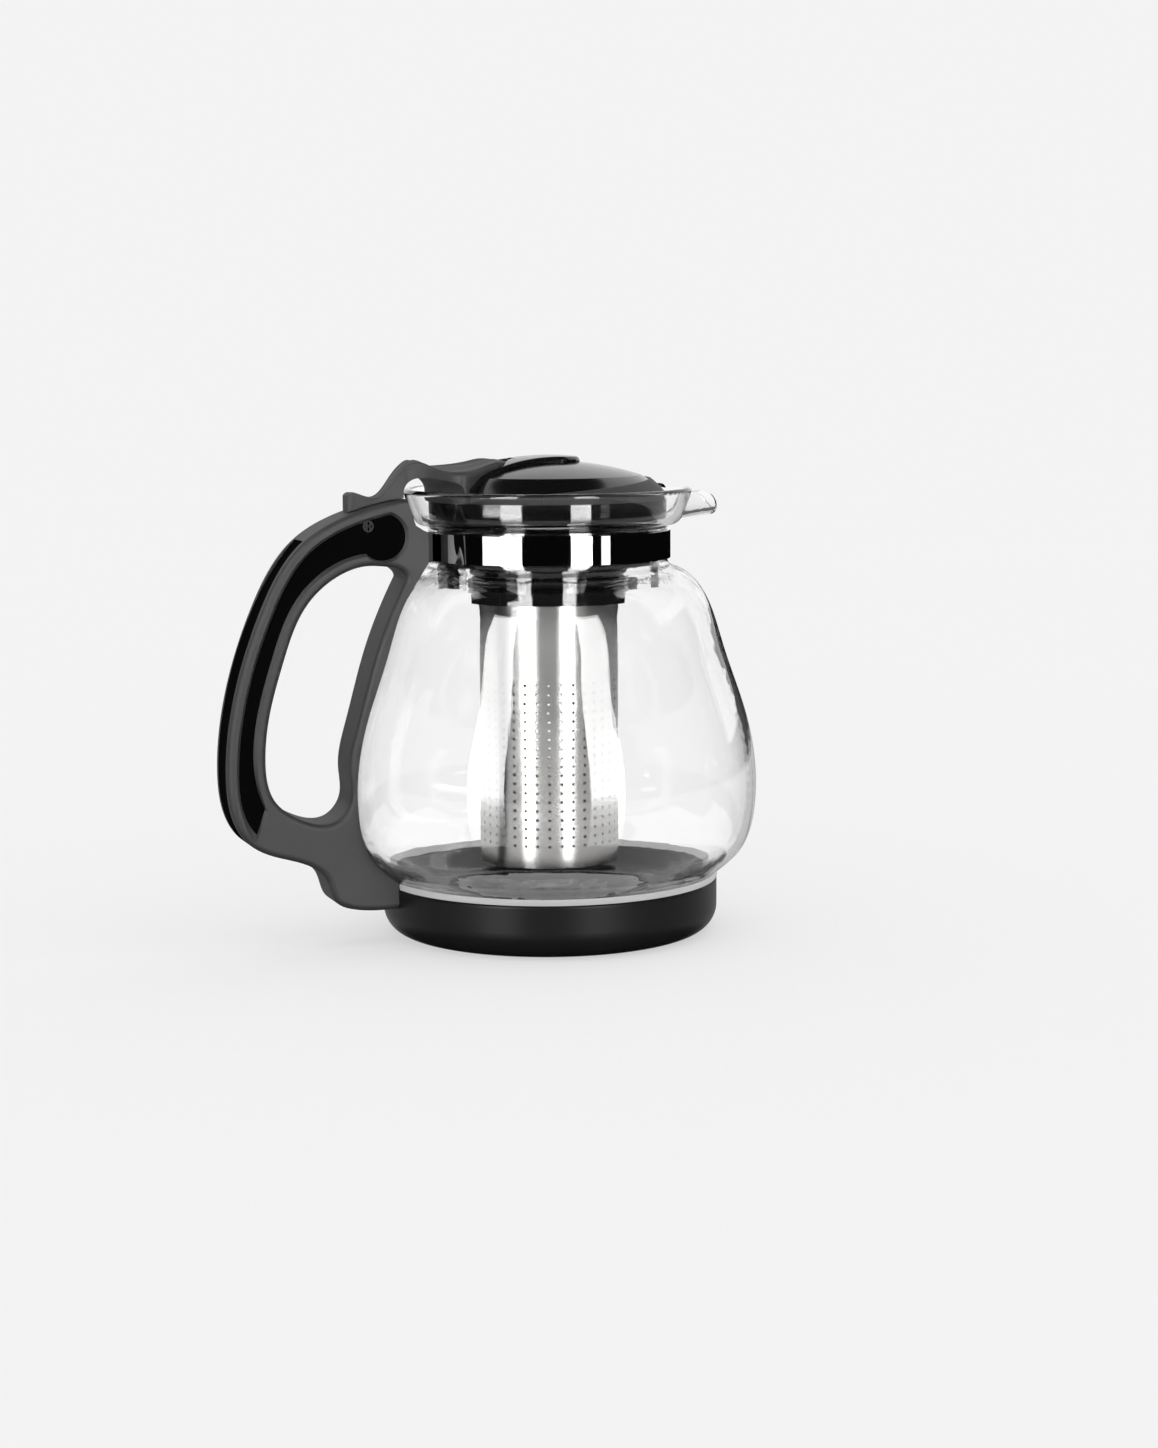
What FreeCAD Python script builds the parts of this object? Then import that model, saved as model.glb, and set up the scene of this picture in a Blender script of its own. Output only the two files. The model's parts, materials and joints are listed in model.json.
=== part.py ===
import FreeCAD, Part
import math
import os

# Glass teapot with a lift-out infuser and a lift-off lid.
# Millimetres, +Z up, spout along +X, handle along -X.
# The origin is the centre of the flat face that the pot stands on.

V = FreeCAD.Vector
ORIGIN = V(0, 0, 0)
Z_AXIS = V(0, 0, 1)
Y_AXIS = V(0, 1, 0)
X_AXIS = V(1, 0, 0)
RIM_SLOPE = V(0.25, 0, 1)

# Clearances
seam = 0.15          # between pieces of one assembly
glass_gap = 0.35     # between the glass and what lies along it
slide_gap = 0.4      # between pieces that lift out of each other
reach = 300.0        # longer than any cut has to be
angle_slack = 0.001  # degrees, to tell the sides of a sector from its other faces

# Base cup
base_radius = 57.0
base_height = 18.5
base_wall = 2.2
base_floor = 3.0
base_edge_round = 9.0
pad_thickness = 2.5
pad_radius = 36.0

# Glass jug, outer sizes
glass_wall = 2.6
foot_radius = 34.0
heel_share = 0.707   # of the way from the base cup's bore out to the belly
heel_height = 28.5
belly_radius = 70.0
belly_height = 43.0
taper_share = 0.906  # of the way from the neck out to the belly
taper_height = 73.5
upper_share = 0.643
upper_height = 97.0
shoulder_share = 0.32
shoulder_height = 119.5
crook_offset = 3.6   # the bend between shoulder and neck
neck_radius = 40.3
neck_bottom = 127.3
neck_height = 9.7
flare_height = 5.4
flare_radius = 45.9
rim_radius = 48.4
rim_height = 12.2    # above the top of the neck
seat_clearance = 0.5

# Pouring lip
spout_reach = 59.4
spout_wall = 2.2
spout_root_half_width = 22.0
spout_tip_half_width = 6.5
spout_tip_drop = 8.6     # tip floor below the rim
spout_root_drop = 11.8
spout_side_length = 7.5  # how far the level sides run before they fall to the tip
spout_root_inset = 6.0   # root inside the neck
spout_middle_back = 3.0  # middle section behind the half-way point
spout_middle_sag = 1.4   # middle section below the tip
spout_overrun = 1.6      # channel past the tip, before it is trimmed
spout_side_share = 0.55  # of the height, up to where the sides turn straight
lip_curl = 1.6           # of the edge that falls to the tip

# Neck band
band_thickness = 0.95
band_gap = 6.0       # between the two ears
band_height = 9.4
ear_half_height = 3.4    # round the clamp screw
ear_end = 4.0            # past the clamp screw
ear_bend = 5.0           # where the ear's edges turn, before the clamp screw

# Handle
handle_reach = 43.5      # outside the belly
handle_half_width = 9.2
handle_rim = 3.9
handle_bead = 4.2
head_offset = 4.4        # from the neck to the handle head
recess_depth = 2.4
inlay_thickness = 1.4
strap_thickness = 2.0    # along the belly
strap_top_thickness = 3.0
strip_depth = 1.3
strip_half_width = 5.4
foot_height = 7.5        # that the handle's foot covers of the base
edge_round = 2.0
panel_bevel = 1.0        # round the edge of the panel's pocket

# Clamp screw
screw_share = 0.76       # of the way from the glass rim out to the belly
screw_rise = 2.8         # above the neck's top
screw_diameter = 2.2
screw_head_diameter = 3.8
screw_head_height = 2.0
screw_slot = 0.7
nut_width = 4.5
nut_height = 2.0

# Base screws
base_screw_diameter = 2.6
base_screw_head = 4.4
base_screw_head_height = 1.4
base_screw_length = 11.0
base_screw_spacing = 8.4
base_screw_drop = 4.6    # below the base's edge

# Infuser
flange_radius = 40.2
flange_bore = 33.0
flange_height = 6.8
flange_seat = 3.4        # flange underside above the neck's top
sleeve_wall = 2.2
throat_drop = 2.2        # throat top below the neck
throat_step = 1.0        # throat over the collar
throat_height = 7.0
collar_wall = 2.6
collar_height = 5.0
tube_radius = 23.4
tube_wall = 0.6
tube_lift = 15.6         # tube over the inside of the glass bottom
tube_socket = 3.6        # how far the tube goes up into the collar
cap_height = 3.0         # of the tube's bottom
hole_size = 1.2
hole_columns = 24
hole_rows = 14
hole_pitch = 4.1
hole_start = 7.4         # first row above the tube's bottom
pour_half_width = 9.0
pour_bridge = 3.0        # flange left over the pouring window
foot_drop = 6.0          # snap feet below the sleeve
foot_width = 8.0
rear_foot_width = 26.0

# Lid
lid_radius = 38.9
plate_thickness = 2.0
dome_rise = 10.7         # above the plate
dome_shoulder_radius = 31.5
dome_shoulder_rise = 5.8
dome_edge_bulge = 0.3    # of the slope from the shoulder to the edge
dome_wall = 2.4
ridge_rise = 1.9
ridge_end = 11.0
ridge_tip_half_width = 9.0
ridge_root_half_width = 21.0
ridge_root = 34.0        # behind the axis
ridge_crown_radius = 90.0
ridge_round = 1.5        # of the edge along its top
visor_thickness = 0.7
visor_back = -14.0
visor_slope = 0.078
visor_rise = 1.0         # over the plate, at the visor's back
plug_wall = 2.0
plug_depth = 7.5
arch_rise = 6.1          # room over the glass rim
arch_inner = 2.5         # from the lid's edge
arch_outer = 3.5         # from the glass rim
arm_length = 58.0
arm_rise = 11.7          # above the glass rim
arm_half_width = 21.0
arm_crown = 3.6
crown_share = 0.72       # of the half-width, out to where the arm's top turns down
crown_drop_share = 0.3   # of the crown, that the top has fallen there
vent_diameter = 2.0
vent_x = 27.0

# Levels that follow from the sizes above
glass_bottom = base_floor + pad_thickness
seat_radius = base_radius - base_wall - seat_clearance
heel_radius = seat_radius + heel_share * (belly_radius - seat_radius)
taper_radius = neck_radius + taper_share * (belly_radius - neck_radius)
upper_radius = neck_radius + upper_share * (belly_radius - neck_radius)
shoulder_radius = neck_radius + shoulder_share * (belly_radius - neck_radius)
neck_top = neck_bottom + neck_height
rim_top = neck_top + rim_height
band_inner = neck_radius + seam
band_outer = band_inner + band_thickness
band_bottom = neck_bottom
band_top = band_bottom + band_height
flange_bottom = neck_top + flange_seat
lid_bottom = flange_bottom + flange_height
plate_top = lid_bottom + plate_thickness
neck_bore = neck_radius - glass_wall
foot_bottom = base_height - foot_height
base_screw_height = base_height - base_screw_drop
screw_x = -rim_radius - screw_share * (belly_radius - rim_radius)
screw_z = neck_top + screw_rise
recess_floor = handle_half_width - recess_depth
head_seat = screw_head_height / 2 - recess_floor
nut_seat = recess_floor - nut_height - 2 * seam
sleeve_radius = neck_bore - slide_gap
collar_radius = tube_radius + collar_wall
throat_radius = collar_radius + throat_step
throat_top = neck_bottom - throat_drop
throat_bottom = throat_top - throat_height
collar_bottom = throat_bottom - collar_height
tube_top = collar_bottom + tube_socket
tube_bottom = glass_bottom + glass_wall + tube_lift


def point(x, z):
    """A point in the plane of the handle and the spout."""
    return V(x, 0, z)


def line(start, end):
    return Part.LineSegment(start, end).toShape()


def arc(start, middle, end):
    return Part.Arc(start, middle, end).toShape()


def spline(points, start=None, end=None):
    """A smooth curve through the points, with end tangents where they are given."""
    curve = Part.BSplineCurve()
    if start is None:
        curve.interpolate(points)
    else:
        curve.interpolate(Points=points, InitialTangent=start, FinalTangent=end)
    return curve


def beside(curve, points, distance):
    """The points moved off a curve of the XZ plane, to its right where distance is positive."""
    moved = []
    for place in points:
        tangent = curve.tangent(curve.parameter(place))[0]
        moved.append(place + V(tangent.z, 0, -tangent.x) * distance)
    return moved


def polygon(points):
    return Part.Face(Part.makePolygon(points + points[:1]))


def revolved(edges):
    """A solid of revolution about Z from a closed outline in the XZ plane."""
    face = Part.Face(Part.Wire(Part.__sortEdges__(edges)))
    return face.revolve(ORIGIN, Z_AXIS, 360)


def slab(face, half_width, centre=0.0):
    """A face of the XZ plane, thickened evenly along Y."""
    moved = face.copy()
    moved.translate(V(0, centre - half_width, 0))
    return moved.extrude(V(0, 2 * half_width, 0))


def disc(radius, bottom, top):
    return Part.makeCylinder(radius, top - bottom, V(0, 0, bottom))


def ring(bore, radius, bottom, top):
    return disc(radius, bottom, top).cut(disc(bore, bottom, top))


def block(x0, x1, y0, y1, z0, z1):
    return Part.makeBox(x1 - x0, y1 - y0, z1 - z0, V(x0, y0, z0))


# Glass jug

def body_points():
    """Outer outline of the glass from its flat bottom to the neck."""
    return [
        point(foot_radius, glass_bottom),
        point(seat_radius, base_height),
        point(heel_radius, heel_height),
        point(belly_radius, belly_height),
        point(taper_radius, taper_height),
        point(upper_radius, upper_height),
        point(shoulder_radius, shoulder_height),
        point(neck_radius + crook_offset, neck_bottom - crook_offset),
        point(neck_radius, neck_bottom),
    ]


def flare_points():
    """Outer outline of the glass from the neck to the rim."""
    return [
        point(neck_radius, neck_top),
        point((neck_radius + flare_radius) / 2, neck_top + flare_height / 3),
        point(flare_radius, neck_top + flare_height),
        point(rim_radius, rim_top),
    ]


body_curve = spline(body_points(), X_AXIS, Z_AXIS)
flare_curve = spline(flare_points(), Z_AXIS, RIM_SLOPE)


def wall_edges(distance):
    """Edges of the glass outline moved out by distance, from the bottom to the rim."""
    body = beside(body_curve, body_points(), distance)
    flare = beside(flare_curve, flare_points(), distance)
    edges = [
        spline(body, X_AXIS, Z_AXIS).toShape(),
        line(body[-1], flare[0]),
        spline(flare, Z_AXIS, RIM_SLOPE).toShape(),
    ]
    return edges, body[0], flare[-1]


def filled(distance):
    """The jug's outer form moved out by distance, as one full solid that is open to no side."""
    edges, bottom, top = wall_edges(distance)
    crown = point(top.x, rim_top + rim_height)
    edges += [
        line(top, crown),
        line(crown, point(0, crown.z)),
        line(point(0, crown.z), point(0, bottom.z)),
        line(point(0, bottom.z), bottom),
    ]
    return revolved(edges)


def turned_glass():
    """The jug as it is blown, before the lip is pulled."""
    outer, outer_bottom, outer_top = wall_edges(0.0)
    inner, inner_bottom, inner_top = wall_edges(-glass_wall)
    crest = (outer_top + inner_top) * 0.5 + V(0, 0, glass_wall / 2)
    edges = outer + inner + [
        arc(outer_top, crest, inner_top),
        line(inner_bottom, point(0, inner_bottom.z)),
        line(point(0, inner_bottom.z), point(0, outer_bottom.z)),
        line(point(0, outer_bottom.z), outer_bottom),
    ]
    return revolved(edges)


def spout_form(inset):
    """The pulled lip as a full channel, smaller all round by inset."""
    top = rim_top + rim_height
    sections = []
    half_way = (neck_radius + spout_reach) / 2
    tip_floor = rim_top - spout_tip_drop
    root = point(neck_radius - spout_root_inset, rim_top - spout_root_drop)
    middle = point(half_way - spout_middle_back, tip_floor - spout_middle_sag)
    tip = point(spout_reach + spout_overrun, tip_floor)
    middle_half_width = (spout_root_half_width + spout_tip_half_width) / 2
    widths = [spout_root_half_width, middle_half_width, spout_tip_half_width]
    for place, half_width in zip([root, middle, tip], widths):
        side = half_width - inset
        bottom = place.z + inset
        shoulder = bottom + spout_side_share * (top - bottom)
        left, right = V(place.x, -side, shoulder), V(place.x, side, shoulder)
        upper_left, upper_right = V(place.x, -side, top), V(place.x, side, top)
        edges = [
            arc(left, V(place.x, 0, bottom), right),
            line(right, upper_right),
            line(upper_right, upper_left),
            line(upper_left, left),
        ]
        sections.append(Part.Wire(edges))
    return Part.makeLoft(sections, True, False)


def lip_trim():
    """What is cut off the channel: level sides that fall in a curve to the tip."""
    start = point(neck_radius - spout_root_inset - glass_wall, rim_top)
    turn = point(spout_reach - spout_side_length, rim_top)
    tip = point(spout_reach, rim_top - spout_tip_drop)
    bend = (turn + tip) * 0.5 + point(lip_curl, lip_curl)
    below = point(spout_reach, rim_top - 2 * spout_tip_drop)
    far_low = below + V(spout_reach, 0, 0)
    far_high = point(far_low.x, rim_top + 2 * rim_height)
    near_high = point(start.x, far_high.z)
    corners = [tip, below, far_low, far_high, near_high, start, turn]
    edges = [line(a, b) for a, b in zip(corners, corners[1:])]
    edges.append(arc(turn, bend, tip))
    return slab(Part.Face(Part.Wire(edges)), spout_root_half_width + glass_wall)


def glass_jug():
    channel = spout_form(spout_wall)
    lip = spout_form(0.0).cut(filled(-glass_wall)).cut(channel).cut(lip_trim())
    return turned_glass().cut(channel).fuse(lip).removeSplitter()


# Base

def base_cup():
    flat = base_radius - base_edge_round
    bore = base_radius - base_wall
    inner_round = base_edge_round - base_wall
    corner = 1 - math.sqrt(0.5)
    lip = base_wall / 2
    edges = [
        line(point(0, 0), point(flat, 0)),
        arc(point(flat, 0),
            point(base_radius - corner * base_edge_round, corner * base_edge_round),
            point(base_radius, base_edge_round)),
        line(point(base_radius, base_edge_round), point(base_radius, base_height - lip)),
        arc(point(base_radius, base_height - lip), point(bore + lip, base_height),
            point(bore, base_height - lip)),
        line(point(bore, base_height - lip), point(bore, base_floor + inner_round)),
        arc(point(bore, base_floor + inner_round),
            point(bore - corner * inner_round, base_floor + corner * inner_round),
            point(bore - inner_round, base_floor)),
        line(point(bore - inner_round, base_floor), point(0, base_floor)),
        line(point(0, base_floor), point(0, 0)),
    ]
    cup = revolved(edges)
    for screw in base_screw_shanks(seam):
        cup = cup.cut(screw)
    return cup


def base_pad():
    return disc(pad_radius, base_floor, glass_bottom)


def base_screw_places():
    return [V(0, side * base_screw_spacing / 2, base_screw_height) for side in (-1, 1)]


def base_screw_seat(place):
    """X of the cup's inner wall where a base screw's head rests, at the head's edge."""
    far_side = abs(place.y) + base_screw_head / 2
    return -math.sqrt((base_radius - base_wall) ** 2 - far_side ** 2)


def base_screw_shanks(grow):
    shanks = []
    for place in base_screw_places():
        start = V(base_screw_seat(place), place.y, place.z)
        radius = base_screw_diameter / 2 + grow
        shanks.append(Part.makeCylinder(radius, base_screw_length + grow, start, V(-1, 0, 0)))
    return shanks


def base_screws():
    screws = []
    for place, shank in zip(base_screw_places(), base_screw_shanks(0.0)):
        start = V(base_screw_seat(place), place.y, place.z)
        head = Part.makeCylinder(base_screw_head / 2, base_screw_head_height, start, V(1, 0, 0))
        screws.append(shank.fuse(head).removeSplitter())
    return Part.makeCompound(screws)


# Neck band and its screw

def ear(side, grow):
    """One ear of the band, bent out along the handle, larger all round by grow."""
    root = -band_inner
    tip = screw_x - ear_end - grow
    bend = screw_x + ear_bend + grow
    low, high = band_bottom - grow, band_top + grow
    upper = screw_z + ear_half_height + grow
    lower = screw_z - ear_half_height - grow
    outline = [
        point(root, low),
        point(root, high),
        point(bend + ear_bend, high),
        point(bend, upper),
        point(tip, upper),
        point(tip, lower),
        point(bend, lower),
        point(bend + band_height, low),
    ]
    centre = side * (band_gap + band_thickness) / 2
    return slab(polygon(outline), band_thickness / 2 + grow, centre)


def neck_band():
    opening = block(-reach, 0, -band_gap / 2, band_gap / 2, band_bottom, band_top)
    strip = ring(band_inner, band_outer, band_bottom, band_top).cut(opening)
    hole = screw_cylinder(screw_diameter / 2 + seam, -handle_half_width, handle_half_width)
    for side in (-1, 1):
        strip = strip.fuse(ear(side, 0.0))
    return strip.cut(hole).removeSplitter()


def screw_cylinder(radius, start, end):
    """A cylinder on the clamp screw's axis, from one Y to another."""
    return Part.makeCylinder(radius, end - start, V(screw_x, start, screw_z), Y_AXIS)


def hexagon_prism(width, start, end):
    corner = width / math.sqrt(3)
    points = []
    for step in range(6):
        angle = math.radians(60 * step)
        points.append(V(screw_x + corner * math.cos(angle), start, screw_z + corner * math.sin(angle)))
    return polygon(points).extrude(V(0, end - start, 0))


def band_screw():
    head = screw_cylinder(screw_head_diameter / 2, head_seat - screw_head_height, head_seat)
    shank = screw_cylinder(screw_diameter / 2, head_seat, recess_floor - seam)
    for half_x, half_z in ((screw_slot / 2, screw_slot * 2), (screw_slot * 2, screw_slot / 2)):
        head = head.cut(block(screw_x - half_x, screw_x + half_x, head_seat - screw_head_height,
                              head_seat - screw_head_height / 2, screw_z - half_z, screw_z + half_z))
    return head.fuse(shank).removeSplitter()


def band_nut():
    bore = screw_cylinder(screw_diameter / 2 + seam / 3, nut_seat, nut_seat + nut_height)
    return hexagon_prism(nut_width, nut_seat, nut_seat + nut_height).cut(bore)


# Handle

def over_belly(share, level, rise):
    """A point of the handle head, a share of the way out from the rim to the belly.

    It lies above a level by a share of the handle's reach.
    """
    return point(-rim_radius - share * (belly_radius - rim_radius), level + rise * handle_reach)


def from_belly(outward, level, rise):
    """A point of the handle, out from the belly and up from a level by shares of its reach."""
    return point(-belly_radius - outward * handle_reach, level + rise * handle_reach)


def head_points():
    """Top of the handle head, from the glass rim outward."""
    return [
        over_belly(0.167, rim_top, -0.018),
        over_belly(0.444, rim_top, -0.044),
        over_belly(0.755, rim_top, -0.080),
    ]


def grip_points():
    """Back of the grip, from the head down to its lower bend."""
    return [
        from_belly(0.080, rim_top, -0.147),
        from_belly(0.375, rim_top, -0.317),
        from_belly(0.717, rim_top, -0.839),
        from_belly(0.959, taper_height, 0.117),
        from_belly(1.000, belly_height, 0.333),
        from_belly(0.966, belly_height, 0.074),
        from_belly(0.848, belly_height, -0.138),
    ]


def heel_points():
    """Underside of the handle, from the lower bend to the foot inside the base's edge."""
    return [
        from_belly(0.655, belly_height, -0.248),
        from_belly(0.386, belly_height, -0.336),
        from_belly(0.248, belly_height, -0.451),
        from_belly(0.177, foot_bottom, 0.106),
        from_belly(0.030, foot_bottom, 0.037),
        point(base_wall - base_radius, foot_bottom + 0.023 * handle_reach),
    ]


def strap_points():
    """Outer face of the strap along the glass, from its top down."""
    upper = [point(shoulder_radius, shoulder_height), point(upper_radius, upper_height)]
    taper, belly = point(taper_radius, taper_height), point(belly_radius, belly_height)
    span = [body_curve.parameter(place) for place in (taper, belly)]
    lower = [taper, body_curve.value(sum(span) / 2), belly]
    moved = beside(body_curve, upper, glass_gap + strap_top_thickness)
    moved += beside(body_curve, lower, glass_gap + strap_thickness)
    return [point(-place.x, place.z) for place in moved]


def loop_grip_points():
    """Inner side of the grip, from the finger opening's lower bend up and over to its top."""
    return [
        from_belly(0.637, belly_height, 0.175),
        from_belly(0.703, belly_height, 0.517),
        from_belly(0.664, taper_height, 0.131),
        from_belly(0.554, upper_height, -0.025),
        from_belly(0.363, neck_bottom, -0.294),
        from_belly(0.117, neck_bottom, -0.083),
        over_belly(0.792, neck_bottom, -0.014),
    ]


def loop_points():
    """The finger opening, round from the top of the strap."""
    top, upper, taper, middle, lower = strap_points()
    low_turn = [
        lower + point(0, 0.138) * handle_reach,
        from_belly(0.175, belly_height, -0.009),
        from_belly(0.441, belly_height, 0.023),
    ]
    high_turn = [
        over_belly(0.491, neck_bottom, -0.021),
        top + point(-0.032, 0.067) * handle_reach,
    ]
    return [top, upper, taper, middle] + low_turn + loop_grip_points() + high_turn


back_curve = spline(head_points() + grip_points() + heel_points())
loop_curve = Part.BSplineCurve()
loop_curve.interpolate(Points=loop_points(), PeriodicFlag=True)


def handle_outline():
    """Side view of the handle, let in past the glass, which trims it later."""
    inner = -neck_radius - head_offset
    inside = -shoulder_radius
    corners = [
        heel_points()[-1],
        point(inside, base_height),
        point(inside, shoulder_height),
        point(inner, neck_bottom),
        point(inner, neck_top),
        point(-rim_radius - seat_clearance, neck_top + flare_height / 2),
        head_points()[0],
    ]
    edges = [line(a, b) for a, b in zip(corners, corners[1:])]
    edges.append(back_curve.toShape())
    outer = Part.Face(Part.Wire(Part.__sortEdges__(edges)))
    return outer.cut(Part.Face(Part.Wire([loop_curve.toShape()])))


def recess_outline(inset):
    """The panel in the side of the grip, smaller all round by inset."""
    outer = beside(back_curve, head_points()[1:] + grip_points(), -handle_rim - inset)
    inner = beside(loop_curve, loop_grip_points(), -handle_bead - inset)
    outer[-1] = outer[-1] + V(0, 0, 2 * inset)
    inner[0] = inner[0] + V(0, 0, 2 * inset)
    bulge = point(-rim_radius - handle_rim - inset, screw_z - handle_rim)
    edges = [
        spline(outer).toShape(),
        line(outer[-1], inner[0]),
        spline(inner).toShape(),
        arc(inner[-1], bulge, outer[0]),
    ]
    return Part.Face(Part.Wire(edges))


def strip_outline(depth, proud):
    """The strip in the back of the grip, from its surface plus proud down to depth."""
    places = grip_points()[1:]
    outer = beside(back_curve, places, proud)
    inner = beside(back_curve, places, -depth)
    edges = [
        spline(outer).toShape(),
        line(outer[-1], inner[-1]),
        spline(inner).toShape(),
        line(inner[0], outer[0]),
    ]
    return Part.Face(Part.Wire(Part.__sortEdges__(edges)))


def panel_pocket(side):
    """The pocket for a panel, with its edge bevelled at the side of the handle."""
    pocket = slab(recess_outline(0.0), recess_depth, side * handle_half_width)
    low, high = recess_outline(0.0).OuterWire, recess_outline(-panel_bevel).OuterWire
    low.translate(Y_AXIS * (side * (handle_half_width - panel_bevel)))
    high.translate(Y_AXIS * (side * handle_half_width))
    return pocket.fuse(Part.makeLoft([low, high], True, True))


def handle_frame():
    frame = slab(handle_outline(), handle_half_width)
    side_edges = []
    for edge in frame.Edges:
        middle = edge.CenterOfMass
        if abs(middle.y) > handle_half_width - seam and middle.x < -shoulder_radius - handle_rim:
            side_edges.append(edge)
    frame = frame.makeFillet(edge_round, side_edges)
    frame = frame.cut(filled(glass_gap))
    frame = frame.cut(disc(base_radius + seam, 0, base_height + seam))
    frame = frame.cut(disc(band_outer + seam, band_bottom - seam, band_top + 2 * seam))
    for side in (-1, 1):
        frame = frame.cut(panel_pocket(side))
        frame = frame.cut(ear(side, seam))
    frame = frame.cut(slab(strip_outline(strip_depth, strip_depth), strip_half_width + seam))
    frame = frame.cut(screw_cylinder(screw_diameter / 2 + seam, -handle_half_width, recess_floor))
    frame = frame.cut(screw_cylinder(screw_head_diameter / 2 + seam, -handle_half_width, head_seat))
    frame = frame.cut(hexagon_prism(nut_width + 2 * seam, nut_seat, handle_half_width))
    for shank in base_screw_shanks(seam):
        frame = frame.cut(shank)
    return frame


def grip_inlay():
    outline = recess_outline(seam)
    panels = []
    for side in (-1, 1):
        centre = side * (recess_floor + inlay_thickness / 2)
        panels.append(slab(outline, inlay_thickness / 2, centre))
    hole = screw_cylinder(screw_head_diameter / 2 + 2 * seam, -handle_half_width, 0)
    panels[0] = panels[0].cut(hole)
    return Part.makeCompound(panels)


def back_strip():
    return slab(strip_outline(strip_depth - seam / 3, 0.0), strip_half_width)


# Infuser

def infuser_holder():
    sleeve_bore = sleeve_radius - sleeve_wall
    bore = tube_radius + seam
    floor_top = throat_top + sleeve_wall
    edges_points = [
        point(flange_bore, lid_bottom),
        point(flange_radius, lid_bottom),
        point(flange_radius, flange_bottom),
        point(sleeve_radius, flange_bottom),
        point(sleeve_radius, throat_top),
        point(throat_radius, throat_top - sleeve_wall),
        point(throat_radius, throat_bottom),
        point(bore, throat_bottom),
        point(bore, floor_top - sleeve_wall),
        point(sleeve_bore, floor_top + sleeve_wall),
        point(sleeve_bore, flange_bottom),
        point(flange_bore, flange_bottom + sleeve_wall),
    ]
    holder = polygon(edges_points).revolve(ORIGIN, Z_AXIS, 360)
    pour = block(throat_radius + sleeve_wall, reach, -pour_half_width, pour_half_width,
                 throat_bottom, lid_bottom - pour_bridge)
    holder = holder.cut(pour)
    skirt = ring(sleeve_bore, sleeve_radius, throat_top - foot_drop, floor_top)
    rear = rear_foot_width / 2
    feet = [skirt.common(block(-reach, 0, -rear, rear, 0, reach))]
    for start in (pour_half_width, -pour_half_width - foot_width):
        feet.append(skirt.common(block(0, reach, start, start + foot_width, 0, reach)))
    return holder.fuse(feet).removeSplitter()


def infuser_collar():
    return ring(tube_radius + seam, collar_radius, collar_bottom, throat_bottom)


def perforated_sector(span):
    """One column of the tube's wall, with its row of holes, centred on X."""
    bore = tube_radius - tube_wall
    section = polygon([point(bore, tube_bottom), point(tube_radius, tube_bottom),
                       point(tube_radius, tube_top), point(bore, tube_top)])
    section.rotate(ORIGIN, Z_AXIS, -span / 2)
    half = hole_size / 2
    pins = []
    for row in range(hole_rows):
        height = tube_bottom + hole_start + row * hole_pitch
        pins.append(block(bore - half, tube_radius + half, -half, half, height - half, height + half))
    return section.revolve(ORIGIN, Z_AXIS, span).cut(Part.makeCompound(pins))


def infuser_tube():
    span = 360.0 / hole_columns
    cut_side = span / 2 - angle_slack
    walls = []
    for face in perforated_sector(span).Faces:
        centre = face.CenterOfMass
        if abs(math.degrees(math.atan2(centre.y, centre.x))) < cut_side:
            walls.append(face)
    faces = []
    for column in range(hole_columns):
        for face in walls:
            copy = face.copy()
            copy.rotate(ORIGIN, Z_AXIS, span * column)
            faces.append(copy)
    shell = Part.makeShell(faces)
    shell.sewShape()
    return Part.Solid(shell)


def infuser_bottom():
    top = tube_bottom + cap_height
    radius = tube_radius - tube_wall - seam
    return disc(radius, tube_bottom, top).cut(disc(radius - tube_wall, tube_bottom + tube_wall, top))


# Lid

def cap_form(grow):
    """The lid's crowned top as a full solid, larger all round by grow."""
    top = plate_top + dome_rise + grow
    shoulder = point(dome_shoulder_radius + grow, plate_top + dome_shoulder_rise + grow)
    edge = point(lid_radius + grow, plate_top)
    half_way = dome_shoulder_radius / 2
    sag = (dome_rise - dome_shoulder_rise) / 4
    knee = (shoulder + edge) * 0.5 + V(dome_edge_bulge, 0, dome_edge_bulge)
    edges = [
        arc(point(0, top), point(half_way, top - sag), shoulder),
        arc(shoulder, knee, edge),
        line(edge, point(edge.x, lid_bottom)),
        line(point(edge.x, lid_bottom), point(0, lid_bottom)),
        line(point(0, lid_bottom), point(0, top)),
    ]
    return revolved(edges)


def top_of_face(face):
    return face.CenterOfMass.z


def ridge_form():
    """The raised tongue to pinch, from the arm to its round front end."""
    root_x = -ridge_root
    tip_x = ridge_end - ridge_tip_half_width
    waist = ridge_tip_half_width + (ridge_root_half_width - ridge_tip_half_width) / 3
    edges = [line(V(root_x, ridge_root_half_width, 0), V(root_x, -ridge_root_half_width, 0))]
    for side in (-1, 1):
        flank = spline([V(root_x, side * ridge_root_half_width, 0), V(root_x / 2, side * waist, 0),
                        V(tip_x, side * ridge_tip_half_width, 0)])
        edges.append(flank.toShape())
    edges.append(arc(V(tip_x, -ridge_tip_half_width, 0), V(ridge_end, 0, 0),
                     V(tip_x, ridge_tip_half_width, 0)))
    prism = Part.Face(Part.Wire(Part.__sortEdges__(edges)))
    prism.translate(V(0, 0, plate_top))
    prism = prism.extrude(V(0, 0, dome_rise + rim_height))
    top = plate_top + dome_rise + ridge_rise
    ridge = prism.common(Part.makeSphere(ridge_crown_radius, V(0, 0, top - ridge_crown_radius)))
    highest = max(ridge.Faces, key=top_of_face)
    return ridge.makeFillet(ridge_round, highest.OuterWire.Edges)


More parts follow.
